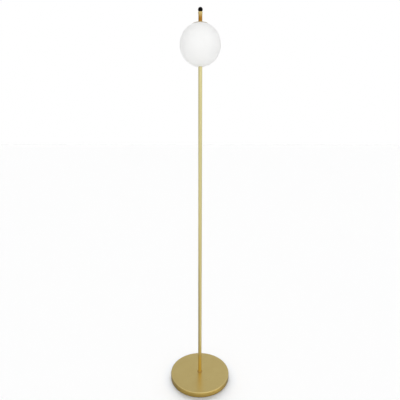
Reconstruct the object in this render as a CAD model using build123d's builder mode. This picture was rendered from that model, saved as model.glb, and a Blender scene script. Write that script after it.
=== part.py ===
from build123d import *
import os
from math import sqrt

# Globe floor lamp: a weighted round base, a pole in three sections and a glass globe that is
# clamped on the pole's end. A shallow cap closes the globe's upper opening. The stem above the
# cap screws on a stud that a wire hoop holds up inside the globe, and carries a ball.
# Millimetres, +Z up. The origin is on the floor, on the pole's axis. The cord's inlet faces +Y.

# ---------------------------------------------------------------- base
BASE_DIAMETER = 254.0
BASE_HEIGHT = 22.0  # from the floor to the top of the cover
COVER_WALL = 1.5
COVER_EDGE_RADIUS = 3.0
SKIRT_LIFT = 1.0  # from the floor to the lower edge of the skirt
PAD_THICKNESS = 2.0
PAD_WIDTH = 40.0
PAD_INSET = 3.0  # from the plate's rim to the pad
PLATE_THICKNESS = 1.2
PLATE_CLEARANCE = 0.5  # between the plate's rim and the skirt
WEIGHT_CLEARANCE = 1.0  # between the weight and the skirt
WEIGHT_CHAMFER = 1.6
WEIGHT_RIM = 28.0  # width of the weight's full-height rim
WIRING_HEIGHT = 5.8  # height of the recess under the weight
NIPPLE_HEADROOM = 6.3  # from the plate up to the nipple's lower end
NUT_POCKET_RADIUS = 20.0
SCREW_COUNT = 3
SCREW_CIRCLE_RADIUS = 60.0
SCREW_START_ANGLE = 30.0
SCREW_RADIUS = 1.85
SCREW_LENGTH = 9.0
SCREW_HEAD_RADIUS = 3.8
SCREW_HEAD_HEIGHT = 1.5
SCREW_BOSS_RADIUS = 6.0
CROSS_WIDTH = 0.9  # width of a cross recess in a screw's head
CROSS_DEPTH = 0.8

# cord inlet
INLET_RADIUS = 3.2  # bore of the grommet
GROMMET_NECK_RADIUS = 4.4
GROMMET_FLANGE_RADIUS = 5.5
GROMMET_FLANGE = 1.2  # thickness of each flange
GROMMET_LIFT = 0.8  # from the plate to the flange

# terminal block
BLOCK_WIDTH = 24.0
BLOCK_DEPTH = 16.0
BLOCK_HEIGHT = 9.0
BLOCK_STEP = 4.0  # height of its two barrels
BLOCK_POCKET_GAP = 2.0  # round the block in the weight
BLOCK_CORNER = 1.0
BARREL_WIDTH = 7.0
POLE_PITCH = 10.0  # distance between its two poles
BLOCK_FACE = 46.0  # from the axis to the face that the wires enter
TERMINAL_SCREW_RADIUS = 1.6
TERMINAL_SCREW_LENGTH = 4.0
TERMINAL_ROWS = 2  # screws along each pole
MAINS_HOLE_RADIUS = 1.6
MAINS_HOLE_DEPTH = 6.0

# wires
WIRE_RADIUS = 1.0
WIRE_GAP = 0.5  # between the two wires in the pole
WIRE_LIFT = 1.0  # from the plate to the wires
WIRE_BEND = 4.0  # where they turn out of the nipple
WIRE_SPREAD_BEND = 16.0  # where they part on the way to the block
WIRE_SPREAD_START = 18.0
WIRE_SPREAD_END = 36.0

# ---------------------------------------------------------------- pole
POLE_DIAMETER = 14.5
POLE_WALL = 1.25
SECTION_LENGTH = 423.7
SECTION_NAMES = ["lower_tube", "middle_tube", "upper_tube"]
SEAM_CHAMFER = 0.2
BUSHING_WALL = 1.0
BUSHING_LENGTH = 12.0
BUSHING_FIT = 0.05  # radial gap between a bushing and its tube
THREAD_FIT = 0.05  # radial gap between a threaded pin and its hole
NIPPLE_WALL = 1.4
NIPPLE_GRIP = 11.0  # length of nipple in each tube
NIPPLE_CHAMFER = 0.4
HOLE_CLEARANCE = 0.3  # radial gap round a nipple in a plain hole
COLLAR_STEP = 3.25  # how far the foot collar stands out from the pole
COLLAR_HEIGHT = 4.0
COLLAR_ROUND = 2.8
NUT_STEP = 2.0  # from the thread to a flat of its nut
NUT_HEIGHT = 4.0
NUT_CHAMFER = 0.4
NIPPLE_PROUD = 1.0  # length of nipple beyond its last nut
BASE_WASHER_RADIUS = 14.0
BASE_WASHER_THICKNESS = 1.5

# ---------------------------------------------------------------- globe
GLOBE_DIAMETER = 150.0
GLASS_THICKNESS = 3.5
LAND_STEP = 2.75  # how far the ground land round the lower hole stands out from the pole
LOWER_HOLE_CLEARANCE = 0.9  # radial gap between the nipple and the lower hole
UPPER_OPENING_RADIUS = 24.0
LIP_RADIUS = 0.8  # fire-polished edge of the upper opening
TUBE_GASKET_THICKNESS = 0.8
BUSH_FLANGE_RADIUS = 15.0
BUSH_FLANGE_EDGE = 0.8  # thickness of the bush's flange at its rim
BUSH_FIT = 0.1
CLAMP_WASHER_RADIUS = 13.0
CLAMP_WASHER_THICKNESS = 1.5

# harp and lamp holder
HARP_PLATE_RADIUS = 22.0
HARP_PLATE_THICKNESS = 1.5
HARP_WIRE_RADIUS = 1.5
HARP_HALF_WIDTH = 19.0
HARP_CORNER = 13.0
HARP_END = 0.8  # length of wire below the lower nut
HARP_NUT_FLAT = 2.75
HARP_NUT_HEIGHT = 2.2
BOSS_RADIUS = 6.0
BOSS_HEIGHT = 7.0
BOSS_GAP = 0.8  # from the boss to the cap's underside
STUD_RADIUS = 2.95
STUD_REACH = 13.0  # length of stud in the stem
BRIDGE_HALF_LENGTH = 18.0
BRIDGE_WIDTH = 12.0
BRIDGE_HEIGHT = 9.0
BRIDGE_THICKNESS = 1.0
BRIDGE_FOOT = 7.0
BRIDGE_BEND = 1.2
BRIDGE_WIRE_HOLE = 5.0
RIVET_RADIUS = 1.25
RIVET_HEAD_RADIUS = 2.1
RIVET_HEAD_HEIGHT = 0.9
RIVET_OFFSET = 14.2  # from the axis
HOLDER_FLANGE_LENGTH = 34.0
HOLDER_FLANGE_WIDTH = 12.0
HOLDER_FLANGE_HEIGHT = 5.0
HOLDER_RADIUS = 10.0
HOLDER_HEIGHT = 18.0
HOLDER_RECESS_DEPTH = 6.0
HOLDER_EDGE_RADIUS = 1.0
HOLDER_SCREW_OFFSET = 13.4
HOLDER_SCREW_RADIUS = 1.2
HOLDER_SCREW_HEAD_RADIUS = 2.2
HOLDER_SCREW_HEAD_HEIGHT = 1.4

# bulb
PIN_PITCH = 9.0
PIN_RADIUS = 0.8
PIN_LENGTH = 9.0
BULB_FIT = 0.3
BULB_FOOT_LENGTH = 14.4
BULB_FOOT_WIDTH = 8.4
BULB_FOOT_HEIGHT = 10.0
BULB_FOOT_CORNER = 1.0
BULB_RADIUS = 8.0
BULB_NECK_RADIUS = 7.6
BULB_LENGTH = 36.0
BULB_WALL = 0.8
CORE_WIDTH = 9.0
CORE_THICKNESS = 1.6
CORE_LENGTH = 28.0
CHIP_SIZE = 2.2
CHIP_HEIGHT = 0.6
CHIP_ROWS = 6
CHIP_PITCH = 4.2

# ---------------------------------------------------------------- cap, stem and ball
CAP_RADIUS = 28.5
CAP_THICKNESS = 0.7
CAP_FLAT_RADIUS = 9.5
CAP_SEAT_GAP = 0.2  # from the glass to the gasket
GASKET_FLANGE = 0.3
GASKET_FLANGE_RADIUS = 27.0
GASKET_SKIRT_WALL = 1.6
GASKET_SKIRT_GAP = 0.4  # between the skirt and the opening
GASKET_SKIRT_DROP = 1.0  # how far it hangs below the glass
GASKET_CAP_GAP = 0.05
CAP_HOLE_CLEARANCE = 0.35
STEM_WASHER_RADIUS = 6.2
STEM_WASHER_THICKNESS = 0.8
STEM_RADIUS = 7.1
STEM_RIM_RADIUS = 8.1
STEM_LENGTH = 34.0
STEM_FLARE_START = 16.0  # from the stem's foot
STEM_CHAMFER = 0.35
STEM_BORE_DEPTH = 14.5
BALL_DIAMETER = 17.0
BALL_SEAT_RADIUS = 3.2  # where the ball meets the plane of the stem's rim
BALL_SEAT_GAP = 0.15
BALL_STUD_RADIUS = 2.0
BALL_STUD_GRIP = 6.8  # length of stud in the stem and in the ball
BALL_HOLE_SPARE = 0.3

# ---------------------------------------------------------------- heights and fits worked out
cover_radius = BASE_DIAMETER / 2
skirt_inner_radius = cover_radius - COVER_WALL
plate_radius = skirt_inner_radius - PLATE_CLEARANCE
weight_radius = skirt_inner_radius - WEIGHT_CLEARANCE
plate_top = PAD_THICKNESS + PLATE_THICKNESS
weight_top = BASE_HEIGHT - COVER_WALL

pole_radius = POLE_DIAMETER / 2
tube_bore_radius = pole_radius - POLE_WALL
thread_hole_radius = tube_bore_radius - BUSHING_FIT - BUSHING_WALL
nipple_radius = thread_hole_radius - THREAD_FIT
nipple_bore_radius = nipple_radius - NIPPLE_WALL
plain_hole_radius = nipple_radius + HOLE_CLEARANCE

base_nipple_low = plate_top + NIPPLE_HEADROOM
base_nut_low = base_nipple_low + NIPPLE_PROUD
base_washer_low = base_nut_low + NUT_HEIGHT
nut_pocket_top = base_washer_low + BASE_WASHER_THICKNESS
grommet_height = plate_top + GROMMET_LIFT + GROMMET_FLANGE_RADIUS

pole_foot = BASE_HEIGHT + COLLAR_HEIGHT
pole_top = pole_foot + len(SECTION_NAMES) * SECTION_LENGTH
seam_heights = [pole_foot + i * SECTION_LENGTH for i in range(len(SECTION_NAMES) + 1)]

globe_radius = GLOBE_DIAMETER / 2
globe_inner_radius = globe_radius - GLASS_THICKNESS
land_radius = pole_radius + LAND_STEP
lower_hole_radius = nipple_radius + LOWER_HOLE_CLEARANCE
land_height = pole_top + TUBE_GASKET_THICKNESS


def sphere_height(radius, distance):
    """Height above the centre of a sphere's surface, at a distance from its axis."""
    return sqrt(radius**2 - distance**2)


globe_height = land_height + sphere_height(globe_radius, land_radius)
bush_inner_radius = globe_inner_radius - BUSH_FIT
bush_top = globe_height - sphere_height(bush_inner_radius, BUSH_FLANGE_RADIUS) + BUSH_FLANGE_EDGE
clamp_nut_low = bush_top + CLAMP_WASHER_THICKNESS
harp_plate_low = clamp_nut_low + NUT_HEIGHT
harp_plate_top = harp_plate_low + HARP_PLATE_THICKNESS
plate_nut_top = harp_plate_top + NUT_HEIGHT
top_nipple_high = plate_nut_top + NIPPLE_PROUD
bridge_top = harp_plate_top + BRIDGE_HEIGHT
holder_top = bridge_top + HOLDER_HEIGHT
recess_floor = holder_top - HOLDER_RECESS_DEPTH
bulb_foot_low = recess_floor + BULB_FIT
bulb_low = bulb_foot_low + BULB_FOOT_HEIGHT

gasket_inner_radius = globe_radius + CAP_SEAT_GAP
gasket_outer_radius = gasket_inner_radius + GASKET_FLANGE
cap_inner_radius = gasket_outer_radius + GASKET_CAP_GAP
cap_outer_radius = cap_inner_radius + CAP_THICKNESS
cap_top = globe_height + sphere_height(cap_outer_radius, CAP_FLAT_RADIUS)
cap_under = cap_top - CAP_THICKNESS
gasket_skirt_outer = UPPER_OPENING_RADIUS - GASKET_SKIRT_GAP
gasket_skirt_inner = gasket_skirt_outer - GASKET_SKIRT_WALL
gasket_low = sphere_height(globe_inner_radius, UPPER_OPENING_RADIUS) - GASKET_SKIRT_DROP
boss_top = cap_under - BOSS_GAP
harp_wire_top = boss_top - BOSS_HEIGHT / 2
stem_foot = cap_top + STEM_WASHER_THICKNESS
stem_rim = stem_foot + STEM_LENGTH
ball_radius = BALL_DIAMETER / 2
ball_height = stem_rim + sphere_height(ball_radius, BALL_SEAT_RADIUS)
cup_radius = ball_radius + BALL_SEAT_GAP
ball_hole_radius = BALL_STUD_RADIUS + THREAD_FIT
cup_floor = ball_height - sphere_height(cup_radius, ball_hole_radius)

os.makedirs("parts", exist_ok=True)


def level(height):
    """Horizontal plane at a height."""
    return Plane.XY.offset(height)


def upright(height=0.0):
    """Vertical plane through the axis: its x is the distance from the axis, its y is the height."""
    return Plane(origin=(0, 0, height), x_dir=(1, 0, 0), z_dir=(0, -1, 0))


def write(builder, name):
    """Label a finished piece and write its file."""
    builder.part.label = name
    export_step(builder.part, f"parts/{name}.step")


def sphere_arc(radius, start, end):
    """Line of a sphere's surface in an upright plane at its centre, between two distances."""
    middle = (start + end) / 2
    return ThreePointArc(
        (start, sphere_height(radius, start)),
        (middle, sphere_height(radius, middle)),
        (end, sphere_height(radius, end)),
    )


def ring(low, high, outer, inner):
    """Plain ring or washer between two heights."""
    with BuildPart() as body:
        with BuildSketch(level(low)):
            Circle(outer)
            Circle(inner, mode=Mode.SUBTRACT)
        extrude(amount=high - low)
    return body


def outer_circles(body):
    """The two largest circular edges of a ring."""
    return body.edges().filter_by(GeomType.CIRCLE).sort_by(SortBy.RADIUS)[-2:]


def nipple(low, high):
    """Hollow threaded tube with chamfered ends, between two heights."""
    body = ring(low, high, nipple_radius, nipple_bore_radius)
    with body:
        chamfer(outer_circles(body), NIPPLE_CHAMFER)
    return body


def hex_nut(low, height, flat, hole):
    """Hexagon nut; flat is the distance from its axis to a flat."""
    with BuildPart() as body:
        with BuildSketch(level(low)):
            RegularPolygon(radius=flat, side_count=6, major_radius=False)
            Circle(hole, mode=Mode.SUBTRACT)
        extrude(amount=height)
        with BuildSketch(level(low)):
            Circle(flat + NUT_CHAMFER)
        extrude(amount=height, mode=Mode.INTERSECT)
    return body


# ================================================================ base
# Pressed cover: a closed top with a rounded edge, open below.
with BuildPart() as base_cover:
    with BuildSketch(level(SKIRT_LIFT)):
        Circle(cover_radius)
    extrude(amount=BASE_HEIGHT - SKIRT_LIFT)
    fillet(base_cover.edges().sort_by(Axis.Z)[-1], COVER_EDGE_RADIUS)
    offset(amount=-COVER_WALL, openings=base_cover.faces().sort_by(Axis.Z)[0])
    with BuildSketch(level(BASE_HEIGHT)):
        Circle(plain_hole_radius)
    extrude(amount=-2 * COVER_WALL, mode=Mode.SUBTRACT)
    with BuildSketch(Plane(origin=(0, cover_radius, grommet_height), z_dir=(0, -1, 0))):
        Circle(GROMMET_NECK_RADIUS + BUSH_FIT)
    extrude(amount=2 * COVER_WALL, mode=Mode.SUBTRACT)
write(base_cover, "base_cover")

# Cast weight: recessed below for the wires, with three bosses for the plate's screws.
channel_width = 2 * GROMMET_FLANGE_RADIUS + 2 * WEIGHT_CLEARANCE
channel_height = grommet_height + GROMMET_FLANGE_RADIUS + WEIGHT_CLEARANCE - plate_top
block_centre = BLOCK_FACE + BLOCK_DEPTH / 2
screw_places = PolarLocations(SCREW_CIRCLE_RADIUS, SCREW_COUNT, start_angle=SCREW_START_ANGLE)
with BuildPart() as base_weight:
    with BuildSketch(level(plate_top)):
        Circle(weight_radius)
    extrude(amount=weight_top - plate_top)
    chamfer(base_weight.edges().sort_by(Axis.Z)[-1], WEIGHT_CHAMFER)
    with BuildSketch(level(plate_top)):
        Circle(weight_radius - WEIGHT_RIM)
        with screw_places:
            Circle(SCREW_BOSS_RADIUS, mode=Mode.SUBTRACT)
    extrude(amount=WIRING_HEIGHT, mode=Mode.SUBTRACT)
    with BuildSketch(level(plate_top)):
        Circle(NUT_POCKET_RADIUS)
    extrude(amount=nut_pocket_top - plate_top, mode=Mode.SUBTRACT)
    with BuildSketch(level(plate_top)):
        with Locations((0, block_centre)):
            RectangleRounded(
                BLOCK_WIDTH + 2 * BLOCK_POCKET_GAP, BLOCK_DEPTH + 2 * BLOCK_POCKET_GAP, BLOCK_POCKET_GAP
            )
    extrude(amount=BLOCK_HEIGHT + WEIGHT_CLEARANCE, mode=Mode.SUBTRACT)
    with BuildSketch(level(plate_top)):
        with Locations((0, weight_radius - WEIGHT_RIM / 2)):
            Rectangle(channel_width, WEIGHT_RIM + 2 * WEIGHT_CLEARANCE)
    extrude(amount=channel_height, mode=Mode.SUBTRACT)
    with BuildSketch(level(weight_top)):
        Circle(plain_hole_radius)
    extrude(amount=-(weight_top - plate_top), mode=Mode.SUBTRACT)
    with BuildSketch(level(plate_top)):
        with screw_places:
            Circle(SCREW_RADIUS + THREAD_FIT)
    extrude(amount=SCREW_LENGTH + THREAD_FIT, mode=Mode.SUBTRACT)
write(base_weight, "base_weight")

with BuildPart() as bottom_plate:
    with BuildSketch(level(PAD_THICKNESS)):
        Circle(plate_radius)
        with screw_places:
            Circle(SCREW_RADIUS + HOLE_CLEARANCE, mode=Mode.SUBTRACT)
    extrude(amount=PLATE_THICKNESS)
    chamfer(bottom_plate.faces().sort_by(Axis.Z)[0].outer_wire().edges(), HOLE_CLEARANCE)
write(bottom_plate, "bottom_plate")

# Three pan-head screws with cross recesses.
with BuildPart() as bottom_screws:
    with BuildSketch(level(PAD_THICKNESS)):
        with screw_places:
            Circle(SCREW_HEAD_RADIUS)
    extrude(amount=-SCREW_HEAD_HEIGHT)
    fillet(bottom_screws.faces().group_by(Axis.Z)[0].edges(), SCREW_HEAD_HEIGHT / 2)
    with BuildSketch(level(PAD_THICKNESS)):
        with screw_places:
            Circle(SCREW_RADIUS)
    extrude(amount=SCREW_LENGTH)
    with BuildSketch(level(PAD_THICKNESS - SCREW_HEAD_HEIGHT)):
        with screw_places:
            Rectangle(2 * SCREW_RADIUS, CROSS_WIDTH)
            Rectangle(CROSS_WIDTH, 2 * SCREW_RADIUS)
    extrude(amount=CROSS_DEPTH, mode=Mode.SUBTRACT)
write(bottom_screws, "bottom_screws")

pad_outer = plate_radius - PAD_INSET
base_pad = ring(0, PAD_THICKNESS, pad_outer, pad_outer - PAD_WIDTH)
write(base_pad, "base_pad")

# Grommet in the skirt: two flanges and a neck round the inlet's bore. The inner flange is flat,
# and its rim lies just clear of the curved wall.
inner_flange_face = sphere_height(skirt_inner_radius, GROMMET_FLANGE_RADIUS) - BUSH_FIT
with BuildPart() as cord_grommet:
    with BuildSketch(Plane(origin=(0, cover_radius + GROMMET_FLANGE, grommet_height), z_dir=(0, -1, 0))):
        Circle(GROMMET_FLANGE_RADIUS)
    extrude(amount=GROMMET_FLANGE)
    fillet(cord_grommet.edges().sort_by(Axis.Y)[-1], GROMMET_FLANGE / 2)
    with BuildSketch(Plane(origin=(0, cover_radius, grommet_height), z_dir=(0, -1, 0))):
        Circle(GROMMET_NECK_RADIUS)
    extrude(amount=cover_radius - inner_flange_face)
    with BuildSketch(Plane(origin=(0, inner_flange_face, grommet_height), z_dir=(0, -1, 0))):
        Circle(GROMMET_FLANGE_RADIUS)
    extrude(amount=GROMMET_FLANGE)
    with BuildSketch(Plane(origin=(0, cover_radius + GROMMET_FLANGE, grommet_height), z_dir=(0, -1, 0))):
        Circle(INLET_RADIUS)
    extrude(amount=3 * GROMMET_FLANGE + COVER_WALL, mode=Mode.SUBTRACT)
write(cord_grommet, "cord_grommet")

# Terminal block: two barrels on a foot, holes for the mains side at the rear.
block_top = plate_top + BLOCK_HEIGHT
with BuildPart() as terminal_block:
    with BuildSketch(level(plate_top)):
        with Locations((0, block_centre)):
            RectangleRounded(BLOCK_WIDTH, BLOCK_DEPTH, BLOCK_CORNER)
    extrude(amount=BLOCK_HEIGHT - BLOCK_STEP)
    with BuildSketch(level(block_top - BLOCK_STEP)):
        with Locations((0, block_centre)):
            with GridLocations(POLE_PITCH, 0, 2, 1):
                Rectangle(BARREL_WIDTH, BLOCK_DEPTH)
    extrude(amount=BLOCK_STEP)
    with BuildSketch(level(block_top)):
        with Locations((0, block_centre)):
            with GridLocations(POLE_PITCH, BLOCK_DEPTH / TERMINAL_ROWS, 2, TERMINAL_ROWS):
                Circle(TERMINAL_SCREW_RADIUS + THREAD_FIT)
    extrude(amount=-TERMINAL_SCREW_LENGTH, mode=Mode.SUBTRACT)
    mains_face = Plane(
        origin=(0, BLOCK_FACE + BLOCK_DEPTH, plate_top + (BLOCK_HEIGHT - BLOCK_STEP) / 2), z_dir=(0, -1, 0)
    )
    with BuildSketch(mains_face):
        with GridLocations(POLE_PITCH, 0, 2, 1):
            Circle(MAINS_HOLE_RADIUS)
    extrude(amount=MAINS_HOLE_DEPTH, mode=Mode.SUBTRACT)
write(terminal_block, "terminal_block")

with BuildPart() as terminal_screws:
    with BuildSketch(level(block_top - TERMINAL_SCREW_LENGTH)):
        with Locations((0, block_centre)):
            with GridLocations(POLE_PITCH, BLOCK_DEPTH / TERMINAL_ROWS, 2, TERMINAL_ROWS):
                Circle(TERMINAL_SCREW_RADIUS)
    extrude(amount=TERMINAL_SCREW_LENGTH - CROSS_DEPTH / 2)
    with BuildSketch(level(block_top)):
        with Locations((0, block_centre)):
            with GridLocations(POLE_PITCH, BLOCK_DEPTH / TERMINAL_ROWS, 2, TERMINAL_ROWS):
                Rectangle(2 * TERMINAL_SCREW_RADIUS, CROSS_WIDTH)
    extrude(amount=-2 * CROSS_DEPTH, mode=Mode.SUBTRACT)
write(terminal_screws, "terminal_screws")

# Two insulated wires: down the pole's axis, round a bend under the nipple and out to the block.
wire_offset = WIRE_RADIUS + WIRE_GAP / 2
wire_run = plate_top + WIRE_LIFT + WIRE_RADIUS
with BuildPart() as lead_wires:
    for side in (-1, 1):
        with BuildLine() as route:
            FilletPolyline(
                (side * wire_offset, 0, bridge_top),
                (side * wire_offset, 0, wire_run),
                (side * wire_offset, WIRE_SPREAD_START, wire_run),
                (side * POLE_PITCH / 2, WIRE_SPREAD_END, wire_run),
                (side * POLE_PITCH / 2, BLOCK_FACE, wire_run),
                radius=[WIRE_BEND, WIRE_SPREAD_BEND, WIRE_SPREAD_BEND],
            )
        with BuildSketch(Plane(origin=route.line @ 0, z_dir=(0, 0, -1))):
            Circle(WIRE_RADIUS)
        sweep(path=route.line)
write(lead_wires, "lead_wires")

base_nipple = nipple(base_nipple_low, pole_foot + NIPPLE_GRIP)
write(base_nipple, "base_nipple")

base_washer = ring(base_washer_low, nut_pocket_top, BASE_WASHER_RADIUS, plain_hole_radius)
write(base_washer, "base_washer")

base_nut = hex_nut(base_nut_low, NUT_HEIGHT, nipple_radius + NUT_STEP, thread_hole_radius)
write(base_nut, "base_nut")

foot_collar = ring(BASE_HEIGHT, pole_foot, pole_radius + COLLAR_STEP, plain_hole_radius)
with foot_collar:
    fillet(foot_collar.edges().group_by(Axis.Z)[-1].sort_by(SortBy.RADIUS)[-1], COLLAR_ROUND)
write(foot_collar, "foot_collar")

# ================================================================ pole
for name, low, high in zip(SECTION_NAMES, seam_heights[:-1], seam_heights[1:]):
    tube = ring(low, high, pole_radius, tube_bore_radius)
    with tube:
        chamfer(outer_circles(tube), SEAM_CHAMFER)
    write(tube, name)

# A threaded bushing in each end of each section.
with BuildPart() as tube_bushings:
    for low, high in zip(seam_heights[:-1], seam_heights[1:]):
        for start in (low, high - BUSHING_LENGTH):
            with BuildSketch(level(start)):
                Circle(tube_bore_radius - BUSHING_FIT)
                Circle(thread_hole_radius, mode=Mode.SUBTRACT)
            extrude(amount=BUSHING_LENGTH - BUSHING_FIT)
write(tube_bushings, "tube_bushings")

with BuildPart() as joint_nipples:
    for seam in seam_heights[1:-1]:
        add(nipple(seam - NIPPLE_GRIP, seam + NIPPLE_GRIP).part)
write(joint_nipples, "joint_nipples")

# ================================================================ globe
tube_gasket = ring(pole_top, land_height, pole_radius, plain_hole_radius)
write(tube_gasket, "tube_gasket")

# Blown globe with a ground land round the small lower hole and a polished lip above.
with BuildPart() as glass_globe:
    land = -sphere_height(globe_radius, land_radius)
    lower_edge = -sphere_height(globe_inner_radius, lower_hole_radius)
    upper_outer = (UPPER_OPENING_RADIUS, sphere_height(globe_radius, UPPER_OPENING_RADIUS))
    upper_inner = (UPPER_OPENING_RADIUS, sphere_height(globe_inner_radius, UPPER_OPENING_RADIUS))
    with BuildSketch(upright(globe_height)):
        with BuildLine():
            Line((lower_hole_radius, land), (land_radius, land))
            ThreePointArc((land_radius, land), (globe_radius, 0), upper_outer)
            Line(upper_outer, upper_inner)
            ThreePointArc(upper_inner, (globe_inner_radius, 0), (lower_hole_radius, lower_edge))
            Line((lower_hole_radius, lower_edge), (lower_hole_radius, land))
        make_face()
    revolve(axis=Axis.Z)
    lips = glass_globe.edges().filter_by(GeomType.CIRCLE).sort_by(Axis.Z)[-2:]
    fillet(lips, LIP_RADIUS)
write(glass_globe, "glass_globe")

# Soft bush: a sleeve in the lower hole and a flange that follows the glass.
with BuildPart() as globe_bush:
    sleeve = nipple_radius + BUSH_FIT
    sleeve_outer = lower_hole_radius - BUSH_FIT
    flange_under = -sphere_height(bush_inner_radius, BUSH_FLANGE_RADIUS)
    flange_root = -sphere_height(bush_inner_radius, sleeve_outer)
    flange_top = bush_top - globe_height
    middle = (BUSH_FLANGE_RADIUS + sleeve_outer) / 2
    with BuildSketch(upright(globe_height)):
        with BuildLine():
            Polyline(
                (sleeve_outer, flange_root),
                (sleeve_outer, land_height - globe_height + BUSH_FIT),
                (sleeve, land_height - globe_height + BUSH_FIT),
                (sleeve, flange_top),
                (BUSH_FLANGE_RADIUS, flange_top),
                (BUSH_FLANGE_RADIUS, flange_under),
            )
            ThreePointArc(
                (BUSH_FLANGE_RADIUS, flange_under),
                (middle, -sphere_height(bush_inner_radius, middle)),
                (sleeve_outer, flange_root),
            )
        make_face()
    revolve(axis=Axis.Z)
write(globe_bush, "globe_bush")

top_nipple = nipple(pole_top - NIPPLE_GRIP, top_nipple_high)
write(top_nipple, "top_nipple")

globe_washer = ring(bush_top, clamp_nut_low, CLAMP_WASHER_RADIUS, plain_hole_radius)
write(globe_washer, "globe_washer")

globe_nut = hex_nut(clamp_nut_low, NUT_HEIGHT, nipple_radius + NUT_STEP, thread_hole_radius)
write(globe_nut, "globe_nut")

plate_nut = hex_nut(harp_plate_top, NUT_HEIGHT, nipple_radius + NUT_STEP, thread_hole_radius)
write(plate_nut, "plate_nut")

# Disc that carries the harp and the lamp holder.
harp_places = GridLocations(2 * HARP_HALF_WIDTH, 0, 2, 1)
rivet_places = GridLocations(0, 2 * RIVET_OFFSET, 1, 2)
with BuildPart() as harp_plate:
    with BuildSketch(level(harp_plate_low)):
        Circle(HARP_PLATE_RADIUS)
        Circle(plain_hole_radius, mode=Mode.SUBTRACT)
        with harp_places:
            Circle(HARP_WIRE_RADIUS + BUSH_FIT, mode=Mode.SUBTRACT)
        with rivet_places:
            Circle(RIVET_RADIUS + THREAD_FIT, mode=Mode.SUBTRACT)
    extrude(amount=HARP_PLATE_THICKNESS)
write(harp_plate, "harp_plate")

# Wire hoop round the bulb; its ends pass through the disc.
harp_low = harp_plate_low - HARP_NUT_HEIGHT - HARP_END
with BuildPart() as harp:
    with BuildLine() as hoop:
        FilletPolyline(
            (-HARP_HALF_WIDTH, 0, harp_low),
            (-HARP_HALF_WIDTH, 0, harp_wire_top),
            (HARP_HALF_WIDTH, 0, harp_wire_top),
            (HARP_HALF_WIDTH, 0, harp_low),
            radius=HARP_CORNER,
        )
    with BuildSketch(Plane(origin=hoop.line @ 0, z_dir=(0, 0, 1))):
        Circle(HARP_WIRE_RADIUS)
    sweep(path=hoop.line)
write(harp, "harp")

with BuildPart() as harp_nuts:
    for low in (harp_plate_low - HARP_NUT_HEIGHT, harp_plate_top):
        with BuildSketch(level(low)):
            with harp_places:
                RegularPolygon(radius=HARP_NUT_FLAT, side_count=6, major_radius=False)
                Circle(HARP_WIRE_RADIUS + THREAD_FIT, mode=Mode.SUBTRACT)
        extrude(amount=HARP_NUT_HEIGHT)
write(harp_nuts, "harp_nuts")

# Boss on the hoop's top, with the stud that the stem screws on.
with BuildPart() as harp_stud:
    with BuildSketch(level(boss_top - BOSS_HEIGHT)):
        Circle(BOSS_RADIUS)
    extrude(amount=BOSS_HEIGHT)
    chamfer(harp_stud.edges().group_by(Axis.Z)[-1] + harp_stud.edges().group_by(Axis.Z)[0], NIPPLE_CHAMFER)
    with BuildSketch(level(boss_top)):
        Circle(STUD_RADIUS)
    extrude(amount=stem_foot + STUD_REACH - boss_top)
    chamfer(harp_stud.edges().group_by(Axis.Z)[-1], NIPPLE_CHAMFER)
    with BuildSketch(Plane(origin=(-BOSS_RADIUS, 0, harp_wire_top), z_dir=(1, 0, 0))):
        Circle(HARP_WIRE_RADIUS + THREAD_FIT)
    extrude(amount=2 * BOSS_RADIUS, mode=Mode.SUBTRACT)
write(harp_stud, "harp_stud")

# Bent strip that stands on the disc, with feet turned inward.
strip_low = harp_plate_top + BRIDGE_THICKNESS / 2
strip_high = bridge_top - BRIDGE_THICKNESS / 2
foot_end = BRIDGE_HALF_LENGTH - BRIDGE_FOOT
holder_screw_places = GridLocations(0, 2 * HOLDER_SCREW_OFFSET, 1, 2)
with BuildPart() as holder_bridge:
    with BuildSketch(Plane.YZ.offset(-BRIDGE_WIDTH / 2)):
        with BuildLine():
            FilletPolyline(
                (-foot_end, strip_low),
                (-BRIDGE_HALF_LENGTH, strip_low),
                (-BRIDGE_HALF_LENGTH, strip_high),
                (BRIDGE_HALF_LENGTH, strip_high),
                (BRIDGE_HALF_LENGTH, strip_low),
                (foot_end, strip_low),
                radius=BRIDGE_BEND,
            )
        trace(line_width=BRIDGE_THICKNESS)
    extrude(amount=BRIDGE_WIDTH)
    with BuildSketch(level(bridge_top)):
        Circle(BRIDGE_WIRE_HOLE)
        with holder_screw_places:
            Circle(HOLDER_SCREW_RADIUS + THREAD_FIT)
    extrude(amount=-2 * BRIDGE_THICKNESS, mode=Mode.SUBTRACT)
    with BuildSketch(level(harp_plate_top)):
        with rivet_places:
            Circle(RIVET_RADIUS + THREAD_FIT)
    extrude(amount=2 * BRIDGE_THICKNESS, mode=Mode.SUBTRACT)
write(holder_bridge, "holder_bridge")

rivet_top = harp_plate_top + BRIDGE_THICKNESS
with BuildPart() as bridge_rivets:
    for start in (harp_plate_low - RIVET_HEAD_HEIGHT, rivet_top):
        with BuildSketch(level(start)):
            with rivet_places:
                Circle(RIVET_HEAD_RADIUS)
        extrude(amount=RIVET_HEAD_HEIGHT)
    with BuildSketch(level(harp_plate_low)):
        with rivet_places:
            Circle(RIVET_RADIUS)
    extrude(amount=rivet_top - harp_plate_low)
write(bridge_rivets, "bridge_rivets")

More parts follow.
